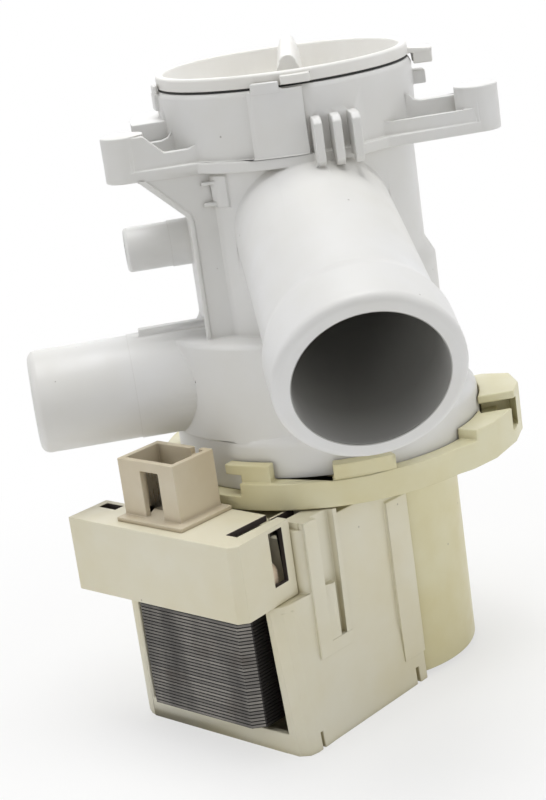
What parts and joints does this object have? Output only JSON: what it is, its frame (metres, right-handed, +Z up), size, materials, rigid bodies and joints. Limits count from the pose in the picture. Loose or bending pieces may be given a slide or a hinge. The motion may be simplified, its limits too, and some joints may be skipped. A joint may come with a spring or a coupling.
{
  "type": "washing machine drain pump",
  "caption": "Washing machine drain pump: filter housing with slanting inlet spigot, side outlet, vent and fixing ears, a turn-out filter cap and an open-frame motor underneath.",
  "frame": {"origin": "on the pump axis at the motor's foot, the lowest face", "axes": "+Z up the pump axis to the filter cap, -Y towards the inlet spigot, -X towards the drain outlet"},
  "size_m": [0.1406, 0.152, 0.1853],
  "materials": {
    "white_polypropylene": "satin moulded white",
    "warm_white_plastic": "satin moulded warm white",
    "cream_plastic": "satin moulded yellowish cream",
    "grey_cream_plastic": "satin moulded greyish cream",
    "black_rubber": "matt",
    "core_steel": "stacked sheet edges, dull",
    "bright_steel": "ground",
    "bronze": "sintered",
    "copper_wire": "lacquered",
    "ferrite": "matt dark grey"
  },
  "bodies": {
    "pump_body": {"filter_housing": "white_polypropylene", "flange_seal": "black_rubber", "thrust_washer": "bronze", "bearing_plate": "cream_plastic", "front_bush": "bronze", "front_boot": "black_rubber", "rear_bush": "bronze", "rear_boot": "black_rubber", "motor_flange": "cream_plastic", "stator_core": "core_steel", "bobbin_left": "cream_plastic", "bobbin_right": "cream_plastic", "winding_left": "copper_wire", "winding_right": "copper_wire", "motor_cover": "grey_cream_plastic", "terminal_box": "grey_cream_plastic", "connector_socket": "grey_cream_plastic", "contact_blades": "bright_steel", "thermal_cutout": "warm_white_plastic", "coil_leads": "copper_wire"},
    "cap_carrier": {"cap_seal": "black_rubber"},
    "filter_insert": {"filter_cap": "warm_white_plastic", "filter_basket": "warm_white_plastic"},
    "rotor": {"rotor_magnet": "ferrite", "magnet_sleeve": "warm_white_plastic"},
    "impeller_set": {"rotor_shaft": "bright_steel", "dog_hub": "warm_white_plastic", "impeller": "warm_white_plastic"}
  },
  "joints": [
    {"name": "cap_pull", "type": "slide", "parent": "pump_body", "child": "cap_carrier", "axis": [0, 0, 1], "range_m": [0, 0.07]},
    {"name": "cap_turn", "type": "hinge", "parent": "cap_carrier", "child": "filter_insert", "pos_m": [0, 0, 0.177], "axis": [0, 0, 1], "range_deg": [0, 80]},
    {"name": "rotor_spin", "type": "hinge", "parent": "pump_body", "child": "rotor", "pos_m": [0, 0, 0.025], "axis": [0, 0, 1], "continuous": true},
    {"name": "impeller_play", "type": "hinge", "parent": "rotor", "child": "impeller_set", "pos_m": [0, 0, 0.045], "axis": [0, 0, 1], "range_deg": [-130, 130]}
  ]
}
